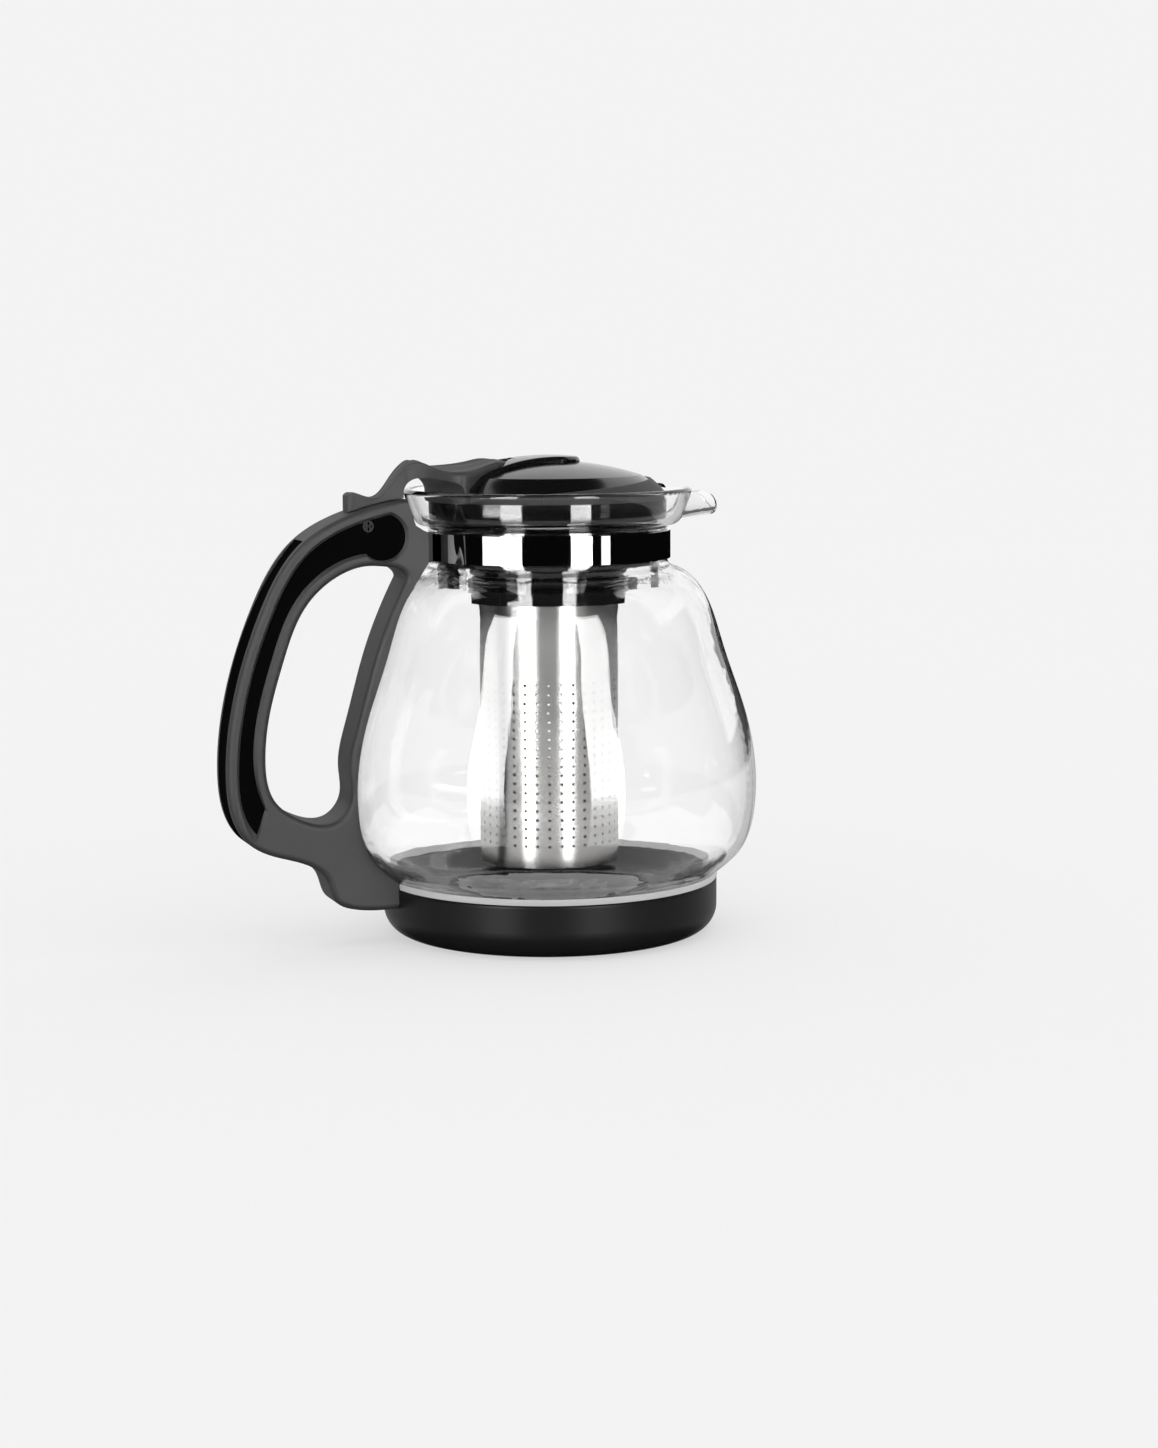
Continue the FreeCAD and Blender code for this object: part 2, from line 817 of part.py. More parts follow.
def arm_section(x, half_width, top, crown, grow, headroom):
    """A cross-section of the lid's arm with rounded upper corners."""
    side = half_width + grow
    floor = neck_top
    crest = top + grow + headroom
    shoulder = crest - crown
    turn = crown_share * side
    turn_top = crest - crown_drop_share * crown
    upper = spline(
        [V(x, -side, shoulder), V(x, -turn, turn_top), V(x, 0, crest),
         V(x, turn, turn_top), V(x, side, shoulder)],
        Z_AXIS, -Z_AXIS)
    edges = [
        upper.toShape(),
        line(V(x, side, shoulder), V(x, side, floor)),
        line(V(x, side, floor), V(x, -side, floor)),
        line(V(x, -side, floor), V(x, -side, shoulder)),
    ]
    return Part.Wire(edges)


def arm_form(grow, headroom):
    """The arm with its thumb tab, hump and tip, before it is trimmed underneath.

    Each section gives its place inward of the rim, half-width, rise and crown, as shares of the
    arm's sizes.
    """
    sections = [
        (-0.3793, 0.1524, 0.0513, 0.2222),
        (-0.3586, 0.1905, 0.1197, 0.2222),
        (-0.2793, 0.2000, 0.0342, 0.2222),
        (-0.2034, 0.2000, 0.0000, 0.2222),
        (-0.1310, 0.2095, 0.3248, 0.2222),
        (-0.0828, 0.2190, 0.6496, 0.2500),
        (-0.0345, 0.2381, 0.8889, 0.2778),
        (0.0138, 0.3333, 1.0000, 0.3889),
        (0.0931, 0.6000, 0.8632, 0.6111),
        (0.2086, 1.0000, 0.8034, 1.0000),
        (0.3138, 0.8381, 0.8376, 0.7778),
        (0.4172, 0.6381, 0.9231, 0.5000),
        (0.5207, 0.4286, 0.9744, 0.3333),
        (0.6207, 0.2190, 0.9744, 0.2222),
    ]
    wires = []
    for inward, half_width, rise, crown in sections:
        wires.append(arm_section(
            inward * arm_length - rim_radius, half_width * arm_half_width,
            rim_top + rise * arm_rise, crown * arm_crown, grow, headroom))
    return Part.makeLoft(wires, True, False)


def handle_top_trim():
    """The space that the handle head needs under the arm."""
    places = head_points() + grip_points()[:3]
    upper = beside(back_curve, places, slide_gap)
    upper[0] = upper[0] + V(rim_radius - neck_radius, 0, 0)
    low_end = point(upper[-1].x, neck_bottom)
    low_start = point(upper[0].x, neck_bottom)
    edges = [
        spline(upper).toShape(),
        line(upper[-1], low_end),
        line(low_end, low_start),
        line(low_start, upper[0]),
    ]
    return slab(Part.Face(Part.Wire(edges)), 2 * handle_half_width)


def arch_form():
    """The round-topped space that the glass rim needs under the arm."""
    inner = lid_radius + arch_inner
    outer = rim_radius + arch_outer
    half = (outer - inner) / 2
    top = rim_top + arch_rise
    edges = [
        line(point(inner, neck_bottom), point(inner, top - half)),
        arc(point(inner, top - half), point(inner + half, top), point(outer, top - half)),
        line(point(outer, top - half), point(outer, neck_bottom)),
        line(point(outer, neck_bottom), point(inner, neck_bottom)),
    ]
    return revolved(edges)


def lid_frame():
    arm = arm_form(0.0, 0.0)
    arm = arm.cut(disc(rim_radius, neck_bottom, lid_bottom))
    arm = arm.cut(arch_form())
    arm = arm.cut(handle_top_trim())
    plate = disc(lid_radius, lid_bottom, plate_top)
    visor = cap_form(visor_thickness).cut(cap_form(seam))
    front = reach
    wedge = polygon([
        point(visor_back, lid_bottom),
        point(front, lid_bottom),
        point(front, plate_top + visor_rise + visor_slope * (front - visor_back)),
        point(visor_back, plate_top + visor_rise),
    ])
    visor = visor.common(slab(wedge, 2 * lid_radius))
    skirt = ring(lid_radius - glass_wall, lid_radius + visor_thickness, lid_bottom, plate_top)
    skirt = skirt.common(slab(wedge, 2 * lid_radius))
    vent = disc(vent_diameter / 2, plate_top, plate_top + 2 * dome_rise)
    vent.translate(V(vent_x, 0, 0))
    return plate.fuse([arm, visor, skirt]).cut(vent).removeSplitter()


def lid_dome():
    crown = disc(lid_radius, plate_top, plate_top + 2 * dome_rise)
    dome = cap_form(0.0).common(crown).fuse(ridge_form())
    dome = dome.cut(cap_form(-dome_wall))
    return dome.cut(arm_form(seam, dome_rise)).removeSplitter()


def lid_plug():
    radius = flange_bore - slide_gap
    bottom = lid_bottom - plug_depth
    return disc(radius, bottom, lid_bottom).cut(disc(radius - plug_wall, bottom, lid_bottom - plug_wall))


NODES = [
    glass_jug, base_cup, base_pad, neck_band, band_screw, band_nut, handle_frame, grip_inlay,
    back_strip, base_screws, infuser_holder, infuser_collar, infuser_tube, infuser_bottom,
    lid_frame, lid_dome, lid_plug,
]


def main():
    os.makedirs("parts", exist_ok=True)
    for make in NODES:
        shape = make()
        shape.exportStep("parts/" + make.__name__ + ".step")
        box = shape.BoundBox
        print(make.__name__, "solids", len(shape.Solids), "valid", shape.isValid(),
              "volume %.1f" % shape.Volume,
              "x %.1f..%.1f y %.1f..%.1f z %.1f..%.1f"
              % (box.XMin, box.XMax, box.YMin, box.YMax, box.ZMin, box.ZMax))


main()
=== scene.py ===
import json
import math
import bpy
from mathutils import Matrix, Vector


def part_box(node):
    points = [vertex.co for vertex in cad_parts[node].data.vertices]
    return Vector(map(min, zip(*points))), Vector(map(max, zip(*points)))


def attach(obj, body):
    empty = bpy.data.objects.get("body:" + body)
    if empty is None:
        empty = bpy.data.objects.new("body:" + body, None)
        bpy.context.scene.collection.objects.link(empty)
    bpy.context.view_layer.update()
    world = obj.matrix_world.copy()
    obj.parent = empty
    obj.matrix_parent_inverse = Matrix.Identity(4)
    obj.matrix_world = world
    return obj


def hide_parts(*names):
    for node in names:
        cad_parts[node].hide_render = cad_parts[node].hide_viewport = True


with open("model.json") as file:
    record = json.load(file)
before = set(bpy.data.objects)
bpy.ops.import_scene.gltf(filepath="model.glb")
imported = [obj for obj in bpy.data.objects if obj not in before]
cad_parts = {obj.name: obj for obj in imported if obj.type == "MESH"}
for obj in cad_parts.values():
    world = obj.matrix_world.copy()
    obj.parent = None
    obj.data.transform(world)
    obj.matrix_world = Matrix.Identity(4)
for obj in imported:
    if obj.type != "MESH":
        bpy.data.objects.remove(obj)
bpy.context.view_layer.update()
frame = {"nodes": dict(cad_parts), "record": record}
nodes = frame["nodes"]
scene = bpy.context.scene

# Camera, in metres, millimetres of lens and degrees round the pot
CAMERA_DISTANCE = 0.960
CAMERA_HEIGHT = 0.197
CAMERA_AZIMUTH = -19.0
CAMERA_HEADING = -19.608
CAMERA_PITCH = 7.516
CAMERA_ROLL = -0.314
CAMERA_LENS = 70.68
CAMERA_SENSOR = 36.0
CAMERA_NEAR = 0.01

# Light levels
BACKGROUND = 0.896
AMBIENT = 1.0
SEEN_THROUGH = 1.0
MIRRORED = 1.0
FLOOR_SHADOW = 0.4
FLOOR_MOTTLE = 0.002
DARK_WALL = 0.002
INNER_LIGHT = 0.1
TABLE_LIGHT = 0.55
CARD_LIGHT = 12.0
STRIP_LIGHT = 1.5

# Floor and studio round the pot, in metres
FLOOR_HALF = 3.0
WALL_RADIUS = 1.3
WALL_TOP = 1.3
WALL_BOTTOM = -0.6
SIDE_TOP = 0.6
BACK_TOP = 0.13
TABLE_EDGE = -0.05
CEILING_BACK = 0.6
CARD_RADIUS = 1.28
CARD_TOP = 1.2
CARD_FOOT = 0.03
CARD_STEP = 0.088
STRIP_TOP = 0.06
LEVEL_STEPS = 96

# Directions in the studio, in degrees from the camera
FRONT_REACH = 85.0
WALL_REACH = 120.0
BACK_REACH = 175.0
LEFT_CARD = (-44.0, -24.0)
LEFT_SIDE = (-62.0, -44.0)
RIGHT_CARD = (21.5, 40.5)
RIGHT_STRIP = (50.0, 59.0)
PANEL_STEP = 4.0

# Fading feet of the cards, each with its lower edge in metres and its light level
CARD_FEET = [
    (0.0, 10.0),
    (-0.04, 8.0),
    (-0.08, 6.5),
    (-0.12, 5.0),
    (-0.18, 4.0),
    (-0.30, 3.0),
    (-0.60, 2.0),
]

# Light that is reflected within the wall of the glass has passed into it and out again
INNER_DEPTH = 2.0
DEPTH_MARGIN = 0.5

# Materials
NOISE_LOW = 0.3
NOISE_HIGH = 0.7
PLASTIC_CLOUD = 60.0
GRAIN_SCALE = 2600.0
GRAIN_DEPTH = 0.00006
METAL_CLOUD = 90.0
METAL_DETAIL = 4.0
GLASS_CLOUD = 25.0
GLASS_IOR = 1.45
GLASS_ROUGHNESS = 0.004
FLOOR_CLOUD = 3.0

# Ears of the neck band, which start at a share of the band's radius, and the near-black colour
# painted on them as shade
EAR_START = 0.996
EAR_PAINTED_SHADE = 0.004

# Perforated tube, in metres, with the border of a cell of its wall in half cells
HOLE_COLUMNS = 36
HOLE_ROWS = 19
HOLE_PITCH = 0.0030
HOLE_RADIUS = 0.00056
HOLE_START = 0.0083
HOLE_TURN = math.radians(1.0)
TUBE_WALL = 0.0006
CELL_BORDER = [(-1, -1), (0, -1), (1, -1), (1, 0), (1, 1), (0, 1), (-1, 1), (-1, 0)]
WALL_FACING = 0.9

# Pale ring under the flare of the glass, a painted highlight in place of the bright heel of the
# glass, in metres from the outer top edge of the base
PAINTED_HEEL_PROFILE = [
    (-0.0021, 0.0),
    (0.0, 0.0),
    (0.0002, 0.0007),
    (0.0002, 0.0015),
    (0.0, 0.0021),
    (-0.0011, 0.0010),
]
PAINTED_HEEL_GAP = math.radians(9.7)
PAINTED_HEEL_STEPS = 160


# Shader helpers

def new_material(name):
    material = bpy.data.materials.new(name)
    material.use_nodes = True
    tree = material.node_tree
    return material, tree, tree.nodes["Principled BSDF"]


def noise(tree, scale, detail=2.0):
    """Noise in the object's own coordinates."""
    place = tree.nodes.new("ShaderNodeTexCoord")
    texture = tree.nodes.new("ShaderNodeTexNoise")
    texture.inputs["Scale"].default_value = scale
    texture.inputs["Detail"].default_value = detail
    tree.links.new(place.outputs["Object"], texture.inputs["Vector"])
    return texture.outputs["Fac"]


def spread(tree, factor, low, high):
    """A number between low and high that follows a factor."""
    span = tree.nodes.new("ShaderNodeMapRange")
    span.inputs["From Min"].default_value = NOISE_LOW
    span.inputs["From Max"].default_value = NOISE_HIGH
    span.inputs["To Min"].default_value = low
    span.inputs["To Max"].default_value = high
    tree.links.new(factor, span.inputs["Value"])
    return span.outputs["Result"]


def tint(tree, factor, dark, light):
    """A colour between two that follows a factor."""
    mix = tree.nodes.new("ShaderNodeMix")
    mix.data_type = "RGBA"
    mix.inputs["A"].default_value = (*dark, 1.0)
    mix.inputs["B"].default_value = (*light, 1.0)
    tree.links.new(factor, mix.inputs["Factor"])
    return mix.outputs["Result"]


def bump(tree, shader, height, strength, distance):
    node = tree.nodes.new("ShaderNodeBump")
    node.inputs["Strength"].default_value = strength
    node.inputs["Distance"].default_value = distance
    tree.links.new(height, node.inputs["Height"])
    tree.links.new(node.outputs["Normal"], shader.inputs["Normal"])


# Materials of the pot

def grey(level):
    return (level, level, level)


def plastic(name, dark, light, rough_low, rough_high, gloss=0.5, grain=0.0):
    """Moulded plastic between two greys, with a fine grain where it is textured."""
    material, tree, shader = new_material(name)
    shader.inputs["Specular IOR Level"].default_value = gloss
    cloud = noise(tree, PLASTIC_CLOUD)
    tree.links.new(tint(tree, cloud, grey(dark), grey(light)), shader.inputs["Base Color"])
    tree.links.new(spread(tree, cloud, rough_low, rough_high), shader.inputs["Roughness"])
    if grain:
        bump(tree, shader, noise(tree, GRAIN_SCALE, 1.0), grain, GRAIN_DEPTH)
    return material


def metal(name, dark, light, rough_low, rough_high):
    """Bare or plated metal between two colours."""
    material, tree, shader = new_material(name)
    shader.inputs["Metallic"].default_value = 1.0
    cloud = noise(tree, METAL_CLOUD, METAL_DETAIL)
    tree.links.new(tint(tree, cloud, dark, light), shader.inputs["Base Color"])
    tree.links.new(spread(tree, cloud, rough_low, rough_high), shader.inputs["Roughness"])
    return material


def clear_glass(name):
    """Clear glass with the faintest tint."""
    material, tree, shader = new_material(name)
    shader.inputs["Transmission Weight"].default_value = 1.0
    shader.inputs["IOR"].default_value = GLASS_IOR
    cloud = noise(tree, GLASS_CLOUD)
    tone = tint(tree, cloud, (0.994, 0.997, 0.995), (1.0, 1.0, 1.0))
    tree.links.new(tone, shader.inputs["Base Color"])
    tree.links.new(spread(tree, cloud, 0.0, GLASS_ROUGHNESS), shader.inputs["Roughness"])
    return material


def paint_ear_shade(material, limit, tone):
    """Painted shade on the band's ears, where it leaves its circle and turns into the handle: the
    chrome is coloured near black there.
    """
    tree = material.node_tree
    colour = tree.nodes["Principled BSDF"].inputs["Base Color"]
    place = tree.nodes.new("ShaderNodeTexCoord")
    axes = tree.nodes.new("ShaderNodeSeparateXYZ")
    mask = tree.nodes.new("ShaderNodeMath")
    mask.operation = "LESS_THAN"
    mask.inputs[1].default_value = limit
    mix = tree.nodes.new("ShaderNodeMix")
    mix.data_type = "RGBA"
    mix.inputs["B"].default_value = (*grey(tone), 1.0)
    tree.links.new(place.outputs["Object"], axes.inputs["Vector"])
    tree.links.new(axes.outputs["X"], mask.inputs[0])
    tree.links.new(mask.outputs["Value"], mix.inputs["Factor"])
    tree.links.new(colour.links[0].from_socket, mix.inputs["A"])
    tree.links.new(mix.outputs["Result"], colour)


finishes = {
    "clear_glass": clear_glass("glass_clear"),
    "satin_black": plastic("plastic_satin", 0.006, 0.009, 0.34, 0.40, gloss=0.16),
    "matte_black": plastic("plastic_matte", 0.024, 0.030, 0.56, 0.62, grain=0.35),
    "gloss_black": plastic("plastic_gloss", 0.003, 0.005, 0.05, 0.08, gloss=0.9),
    "chrome": metal("chrome_bright", (0.86, 0.86, 0.87), (0.90, 0.90, 0.91), 0.02, 0.04),
    "polished_steel": metal("steel_satin", (0.70, 0.69, 0.68), (0.76, 0.75, 0.74), 0.20, 0.24),
    "screw_steel": metal("steel_plated", grey(0.48), grey(0.58), 0.22, 0.30),
    "dark_steel": metal("steel_dark", grey(0.008), grey(0.014), 0.34, 0.42),
    "silicone": plastic("silicone_pale", 0.52, 0.58, 0.60, 0.70, gloss=0.3),
}
panel_finish = plastic("plastic_panel", 0.002, 0.004, 0.40, 0.48, gloss=0.0)
dome_finish = plastic("plastic_dome", 0.004, 0.006, 0.14, 0.18, gloss=0.8)

for part in frame["record"]["subparts"]:
    mesh = nodes[part["node"]].data
    mesh.materials.clear()
    mesh.materials.append(finishes[part["material_slot"]])
nodes["grip_inlay"].data.materials[0] = panel_finish
nodes["back_strip"].data.materials[0] = panel_finish
nodes["lid_dome"].data.materials[0] = dome_finish
band_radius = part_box("neck_band")[1].y
# Painted shade: the chrome's colour is near black on the band's ears
paint_ear_shade(finishes["chrome"], -EAR_START * band_radius, EAR_PAINTED_SHADE)
# Clear glass lets light through to what it holds
nodes["glass_jug"].visible_shadow = False
nodes["glass_jug"].visible_diffuse = False


# Infuser tube with its round holes

def tube_mesh(bottom, top, radius):
    """A thin tube whose wall has rows of round holes, built cell by cell."""
    points, faces = [], []
    span = 2 * math.pi / HOLE_COLUMNS
    first_row = bottom + HOLE_START
    holes_bottom = first_row - HOLE_PITCH / 2
    holes_top = holes_bottom + HOLE_ROWS * HOLE_PITCH
    inner_radius = radius - TUBE_WALL
    cells = [(HOLE_TURN + column * span, first_row + row * HOLE_PITCH)
             for column in range(HOLE_COLUMNS) for row in range(HOLE_ROWS)]

    def add(angle, height, distance):
        points.append((distance * math.cos(angle), distance * math.sin(angle), height))
        return len(points) - 1

    def circle(height, distance):
        """Points round the tube, two to a column of holes."""
        halves = range(-1, 2 * HOLE_COLUMNS - 1)
        return [add(HOLE_TURN + half * span / 2, height, distance) for half in halves]

    def cell_edge(centre, height, distance):
        return [add(centre + x * span / 2, height + z * HOLE_PITCH / 2, distance)
                for x, z in CELL_BORDER]

    def hole_edge(centre, height, distance):
        corners = []
        for x, z in CELL_BORDER:
            reach = HOLE_RADIUS / math.hypot(x, z)
            corners.append(add(centre + x * reach / radius, height + z * reach, distance))
        return corners

    def join(start, end, flip=False):
        """Four-sided faces between two closed rows of points."""
        for k in range(len(start)):
            n = (k + 1) % len(start)
            face = [start[k], start[n], end[n], end[k]]
            faces.append(face[::-1] if flip else face)

    for distance, inward in ((radius, False), (inner_radius, True)):
        join(circle(bottom, distance), circle(holes_bottom, distance), inward)
        join(circle(holes_top, distance), circle(top, distance), inward)
        for cell in cells:
            join(cell_edge(*cell, distance), hole_edge(*cell, distance), inward)
    for cell in cells:
        join(hole_edge(*cell, radius), hole_edge(*cell, inner_radius))
    join(circle(bottom, radius), circle(bottom, inner_radius), flip=True)
    join(circle(top, radius), circle(top, inner_radius))
    mesh = bpy.data.meshes.new("infuser_sheet")
    mesh.from_pydata(points, [], faces)
    mesh.polygons.foreach_set("use_smooth", [True] * len(mesh.polygons))
    set_round_normals(mesh)
    mesh.update()
    return mesh


def set_round_normals(mesh):
    """Normals straight out of or into the tube on its wall, and flat on its other faces."""
    normals = []
    for polygon in mesh.polygons:
        facing = polygon.normal
        for index in polygon.vertices:
            place = mesh.vertices[index].co
            out = Vector((place.x, place.y, 0.0)).normalized()
            along = facing.dot(out)
            if abs(along) > WALL_FACING:
                normals.append(out if along > 0 else -out)
            else:
                normals.append(facing.copy())
    mesh.normals_split_custom_set(normals)


low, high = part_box("infuser_tube")
tube = bpy.data.objects.new("infuser_sheet", tube_mesh(low.z, high.z, (high.x - low.x) / 2))
tube.data.materials.append(finishes["polished_steel"])
scene.collection.objects.link(tube)
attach(tube, "infuser")
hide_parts("infuser_tube")


# Pale ring between the glass and the base: a painted highlight that stands in for the light refracted
# in the heel of the glass

def painted_heel_mesh(radius, top):
    """The ring's profile turned round the axis, open where the handle comes down."""
    points, faces = [], []
    sides = len(PAINTED_HEEL_PROFILE)
    for step in range(PAINTED_HEEL_STEPS + 1):
        angle = math.pi + PAINTED_HEEL_GAP + (2 * math.pi - 2 * PAINTED_HEEL_GAP) * step / PAINTED_HEEL_STEPS
        for out, up in PAINTED_HEEL_PROFILE:
            reach = radius + out
            points.append((reach * math.cos(angle), reach * math.sin(angle), top + up))
        if step:
            last, here = (step - 1) * sides, step * sides
            for k in range(sides):
                n = (k + 1) % sides
                faces.append((last + k, here + k, here + n, last + n))
    faces.append(tuple(range(sides)))
    faces.append(tuple(reversed(range(PAINTED_HEEL_STEPS * sides, (PAINTED_HEEL_STEPS + 1) * sides))))
    mesh = bpy.data.meshes.new("painted_heel_ring")
    mesh.from_pydata(points, [], faces)
    mesh.update()
    return mesh


low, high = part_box("base_cup")
painted_heel = bpy.data.objects.new("painted_heel_ring", painted_heel_mesh(high.y, high.z))
# The ring's pale silicone colour is a painted highlight for the heel of the glass
painted_heel.data.materials.append(finishes["silicone"])
scene.collection.objects.link(painted_heel)
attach(painted_heel, "jug")


# Floor and studio

def plain_object(name, points, faces, material):
    mesh = bpy.data.meshes.new(name)
    mesh.from_pydata(points, [], faces)
    item = bpy.data.objects.new(name, mesh)
    item.data.materials.append(material)
    scene.collection.objects.link(item)
    return item


def floor_material():
    """Pale floor that keeps part of the pot's shadow."""
    material, tree, shader = new_material("floor_pale")
    cloud = noise(tree, FLOOR_CLOUD)
    tone = tint(tree, cloud, grey(BACKGROUND - FLOOR_MOTTLE), grey(BACKGROUND + FLOOR_MOTTLE))
    tree.links.new(tone, shader.inputs["Base Color"])
    shader.inputs["Roughness"].default_value = 1.0
    shader.inputs["Specular IOR Level"].default_value = 0.0
    glow = tree.nodes.new("ShaderNodeEmission")
    tree.links.new(tone, glow.inputs["Color"])
    mix = tree.nodes.new("ShaderNodeMixShader")
    mix.inputs["Fac"].default_value = FLOOR_SHADOW
    tree.links.new(glow.outputs["Emission"], mix.inputs[1])
    tree.links.new(shader.outputs["BSDF"], mix.inputs[2])
    tree.links.new(mix.outputs["Shader"], tree.nodes["Material Output"].inputs["Surface"])
    material.cycles.emission_sampling = "NONE"
    return material


def inner_strength(tree, path, level, inside):
    """A light level that is raised for reflections within the wall of the glass."""
    within = tree.nodes.new("ShaderNodeMath")
    within.operation = "COMPARE"
    within.inputs[1].default_value = INNER_DEPTH
    within.inputs[2].default_value = DEPTH_MARGIN
    tree.links.new(path.outputs["Transmission Depth"], within.inputs[0])
    amount = tree.nodes.new("ShaderNodeMath")
    amount.operation = "MULTIPLY_ADD"
    amount.inputs[1].default_value = inside
    amount.inputs[2].default_value = level
    tree.links.new(within.outputs["Value"], amount.inputs[0])
    return amount.outputs["Value"]


def mirrored_light(name, level, inside=0.0):
    """Light that only shows in reflections, and is clear to whatever looks straight at it."""
    material = bpy.data.materials.new(name)
    material.use_nodes = True
    tree = material.node_tree
    tree.nodes.clear()
    path = tree.nodes.new("ShaderNodeLightPath")
    clear = tree.nodes.new("ShaderNodeBsdfTransparent")
    glow = tree.nodes.new("ShaderNodeEmission")
    glow.inputs["Color"].default_value = (1.0, 1.0, 1.0, 1.0)
    glow.inputs["Strength"].default_value = level
    if inside:
        tree.links.new(inner_strength(tree, path, level, inside), glow.inputs["Strength"])
    reflected = tree.nodes.new("ShaderNodeMath")
    reflected.operation = "MINIMUM"
    reflected.inputs[1].default_value = 1.0
    mix = tree.nodes.new("ShaderNodeMixShader")
    out = tree.nodes.new("ShaderNodeOutputMaterial")
    tree.links.new(path.outputs["Glossy Depth"], reflected.inputs[0])
    tree.links.new(reflected.outputs["Value"], mix.inputs["Fac"])
    tree.links.new(clear.outputs["BSDF"], mix.inputs[1])
    tree.links.new(glow.outputs["Emission"], mix.inputs[2])
    tree.links.new(mix.outputs["Shader"], out.inputs["Surface"])
    material.cycles.emission_sampling = "NONE"
    return material


def show_in_reflections(item):
    item.visible_camera = False
    item.visible_diffuse = False
    item.visible_shadow = False


def studio_panel(name, radius, start, end, bottom, top, material):
    """An upright panel on a circle round the pot, between two directions from the camera."""
    points, faces = [], []
    steps = max(2, math.ceil((end - start) / PANEL_STEP))
    for step in range(steps + 1):
        turn = math.radians(CAMERA_AZIMUTH + start + (end - start) * step / steps)
        x, y = radius * math.sin(turn), -radius * math.cos(turn)
        points += [(x, y, bottom), (x, y, top)]
        if step:
            k = 2 * step
            faces.append((k - 2, k, k + 1, k - 1))
    show_in_reflections(plain_object(name, points, faces, material))


def studio_level(name, back_width, height, material):
    """A level panel, round towards the camera and half an ellipse behind the pot."""
    turn = Matrix.Rotation(math.radians(CAMERA_AZIMUTH), 4, "Z")
    points = []
    for step in range(LEVEL_STEPS):
        angle = 2 * math.pi * step / LEVEL_STEPS
        half_width = back_width if math.sin(angle) > 0 else WALL_RADIUS
        corner = (half_width * math.cos(angle), WALL_RADIUS * math.sin(angle), height)
        points.append(turn @ Vector(corner))
    show_in_reflections(plain_object(name, points, [tuple(range(LEVEL_STEPS))], material))


floor_corners = [(x * FLOOR_HALF, y * FLOOR_HALF, 0) for x, y in ((-1, -1), (1, -1), (1, 1), (-1, 1))]
floor = plain_object("floor", floor_corners, [(0, 1, 2, 3)], floor_material())
floor.visible_glossy = False
floor.visible_transmission = False

dark = mirrored_light("studio_dark", DARK_WALL, INNER_LIGHT)
bright = mirrored_light("studio_card", CARD_LIGHT)
strip = mirrored_light("studio_strip", STRIP_LIGHT)
table = mirrored_light("studio_table", TABLE_LIGHT)

studio_panel("studio_wall", WALL_RADIUS, -FRONT_REACH, FRONT_REACH, TABLE_EDGE, WALL_TOP, dark)
studio_panel("studio_side_left", WALL_RADIUS, -WALL_REACH, -FRONT_REACH, TABLE_EDGE, SIDE_TOP, dark)
studio_panel("studio_side_right", WALL_RADIUS, FRONT_REACH, WALL_REACH, TABLE_EDGE, SIDE_TOP, dark)
studio_panel("studio_back_left", WALL_RADIUS, -BACK_REACH, -WALL_REACH, TABLE_EDGE, BACK_TOP, dark)
studio_panel("studio_back_right", WALL_RADIUS, WALL_REACH, BACK_REACH, TABLE_EDGE, BACK_TOP, dark)
studio_panel("studio_table", WALL_RADIUS, -BACK_REACH, BACK_REACH, WALL_BOTTOM, TABLE_EDGE, table)
studio_level("studio_ceiling", CEILING_BACK, WALL_TOP, dark)
studio_level("studio_under", WALL_RADIUS, WALL_BOTTOM, dark)

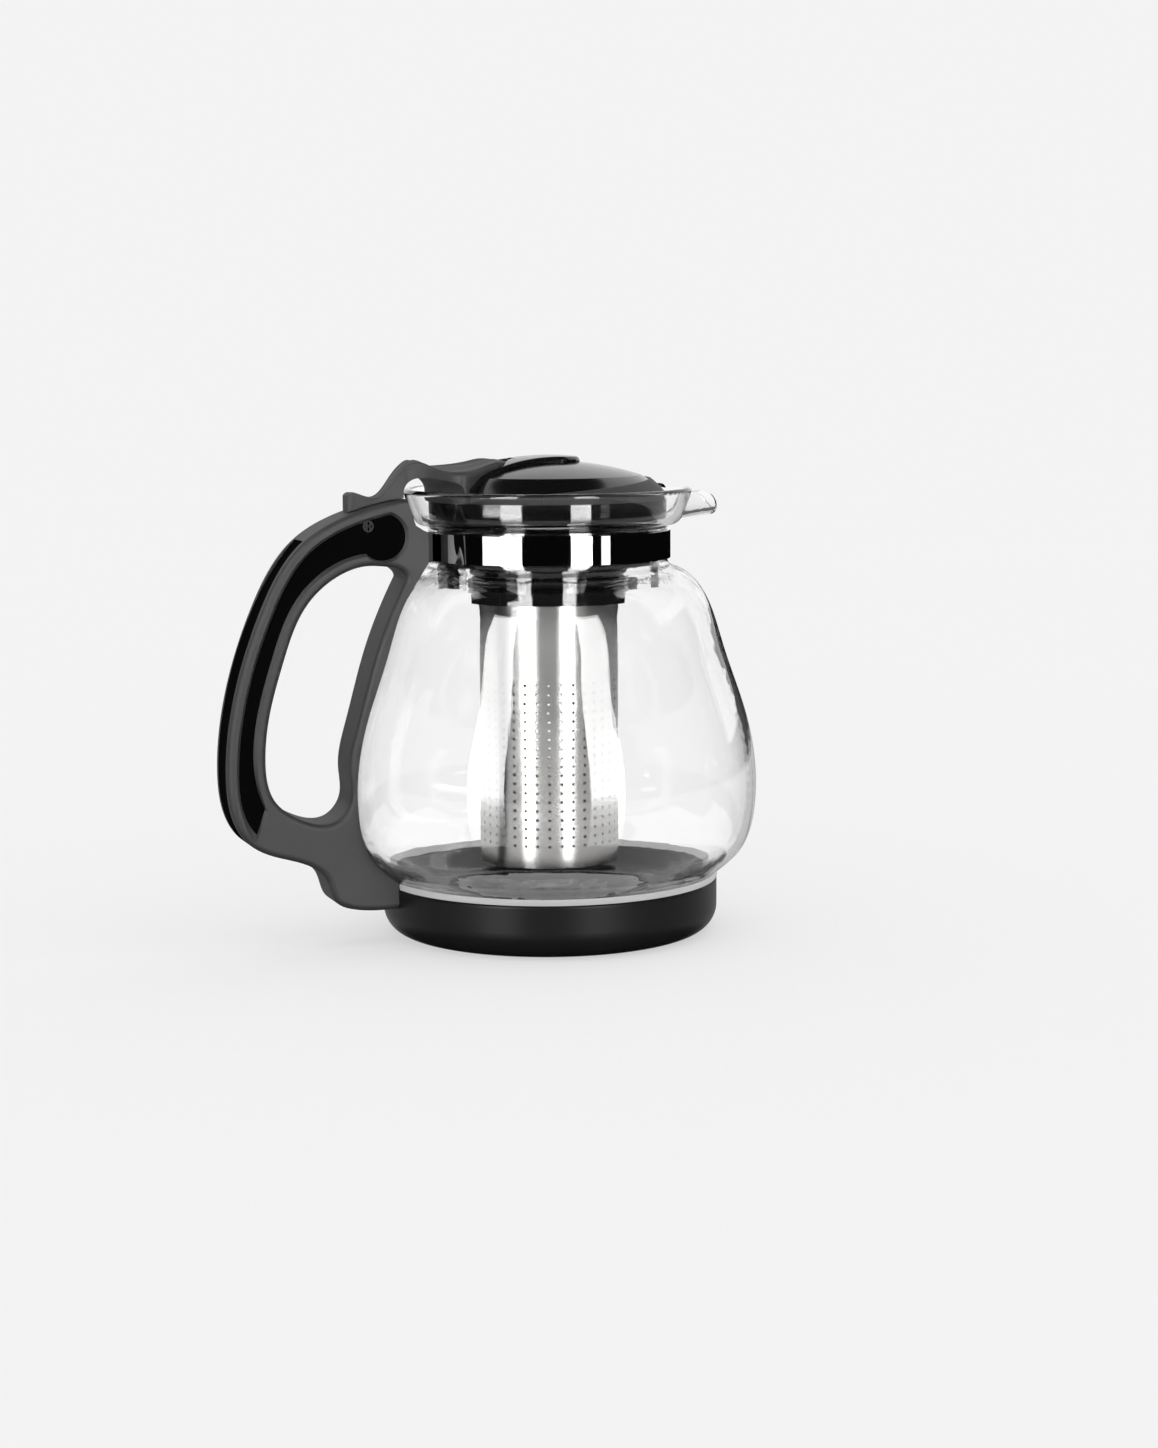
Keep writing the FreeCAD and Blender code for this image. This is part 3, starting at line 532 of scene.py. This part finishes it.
studio_panel("card_left", CARD_RADIUS, *LEFT_CARD, CARD_FOOT, CARD_TOP, bright)
studio_panel("card_left_side", CARD_RADIUS, *LEFT_SIDE, STRIP_TOP, CARD_STEP, bright)
studio_panel("strip_left", CARD_RADIUS, *LEFT_SIDE, CARD_FOOT, STRIP_TOP, strip)
studio_panel("card_right", CARD_RADIUS, *RIGHT_CARD, CARD_FOOT, CARD_TOP, bright)
studio_panel("strip_right", CARD_RADIUS, *RIGHT_STRIP, CARD_FOOT, STRIP_TOP, strip)
foot_top = CARD_FOOT
for foot_bottom, foot_light in CARD_FEET:
    soft = mirrored_light("studio_card_foot", foot_light)
    studio_panel("card_left_foot", CARD_RADIUS, *LEFT_CARD, foot_bottom, foot_top, soft)
    studio_panel("card_right_foot", CARD_RADIUS, *RIGHT_CARD, foot_bottom, foot_top, soft)
    foot_top = foot_bottom


# World

def studio_world():
    """Even light, with a level of its own for each kind of look at the background."""
    world = bpy.data.worlds.new("studio")
    world.use_nodes = True
    tree = world.node_tree
    tree.nodes.clear()
    path = tree.nodes.new("ShaderNodeLightPath")
    ambient = tree.nodes.new("ShaderNodeValue")
    ambient.outputs[0].default_value = AMBIENT
    level = ambient.outputs[0]
    looks = (
        ("Is Glossy Ray", MIRRORED),
        ("Is Transmission Ray", SEEN_THROUGH),
        ("Is Camera Ray", BACKGROUND),
    )
    for ray, amount in looks:
        mix = tree.nodes.new("ShaderNodeMix")
        mix.data_type = "FLOAT"
        mix.inputs["B"].default_value = amount
        tree.links.new(path.outputs[ray], mix.inputs["Factor"])
        tree.links.new(level, mix.inputs["A"])
        level = mix.outputs["Result"]
    background = tree.nodes.new("ShaderNodeBackground")
    output = tree.nodes.new("ShaderNodeOutputWorld")
    tree.links.new(level, background.inputs["Color"])
    tree.links.new(background.outputs["Background"], output.inputs["Surface"])
    return world


scene.world = studio_world()

# Camera
camera_data = bpy.data.cameras.new("camera")
camera_data.lens = CAMERA_LENS
camera_data.sensor_width = CAMERA_SENSOR
camera_data.clip_start = CAMERA_NEAR
camera = bpy.data.objects.new("camera", camera_data)
scene.collection.objects.link(camera)
side = math.radians(CAMERA_AZIMUTH)
camera_place = (CAMERA_DISTANCE * math.sin(side), -CAMERA_DISTANCE * math.cos(side), CAMERA_HEIGHT)
camera.matrix_world = (
    Matrix.Translation(camera_place)
    @ Matrix.Rotation(math.radians(CAMERA_HEADING), 4, "Z")
    @ Matrix.Rotation(math.radians(90.0 - CAMERA_PITCH), 4, "X")
    @ Matrix.Rotation(math.radians(CAMERA_ROLL), 4, "Z")
)
scene.camera = camera
scene.view_settings.view_transform = "Standard"
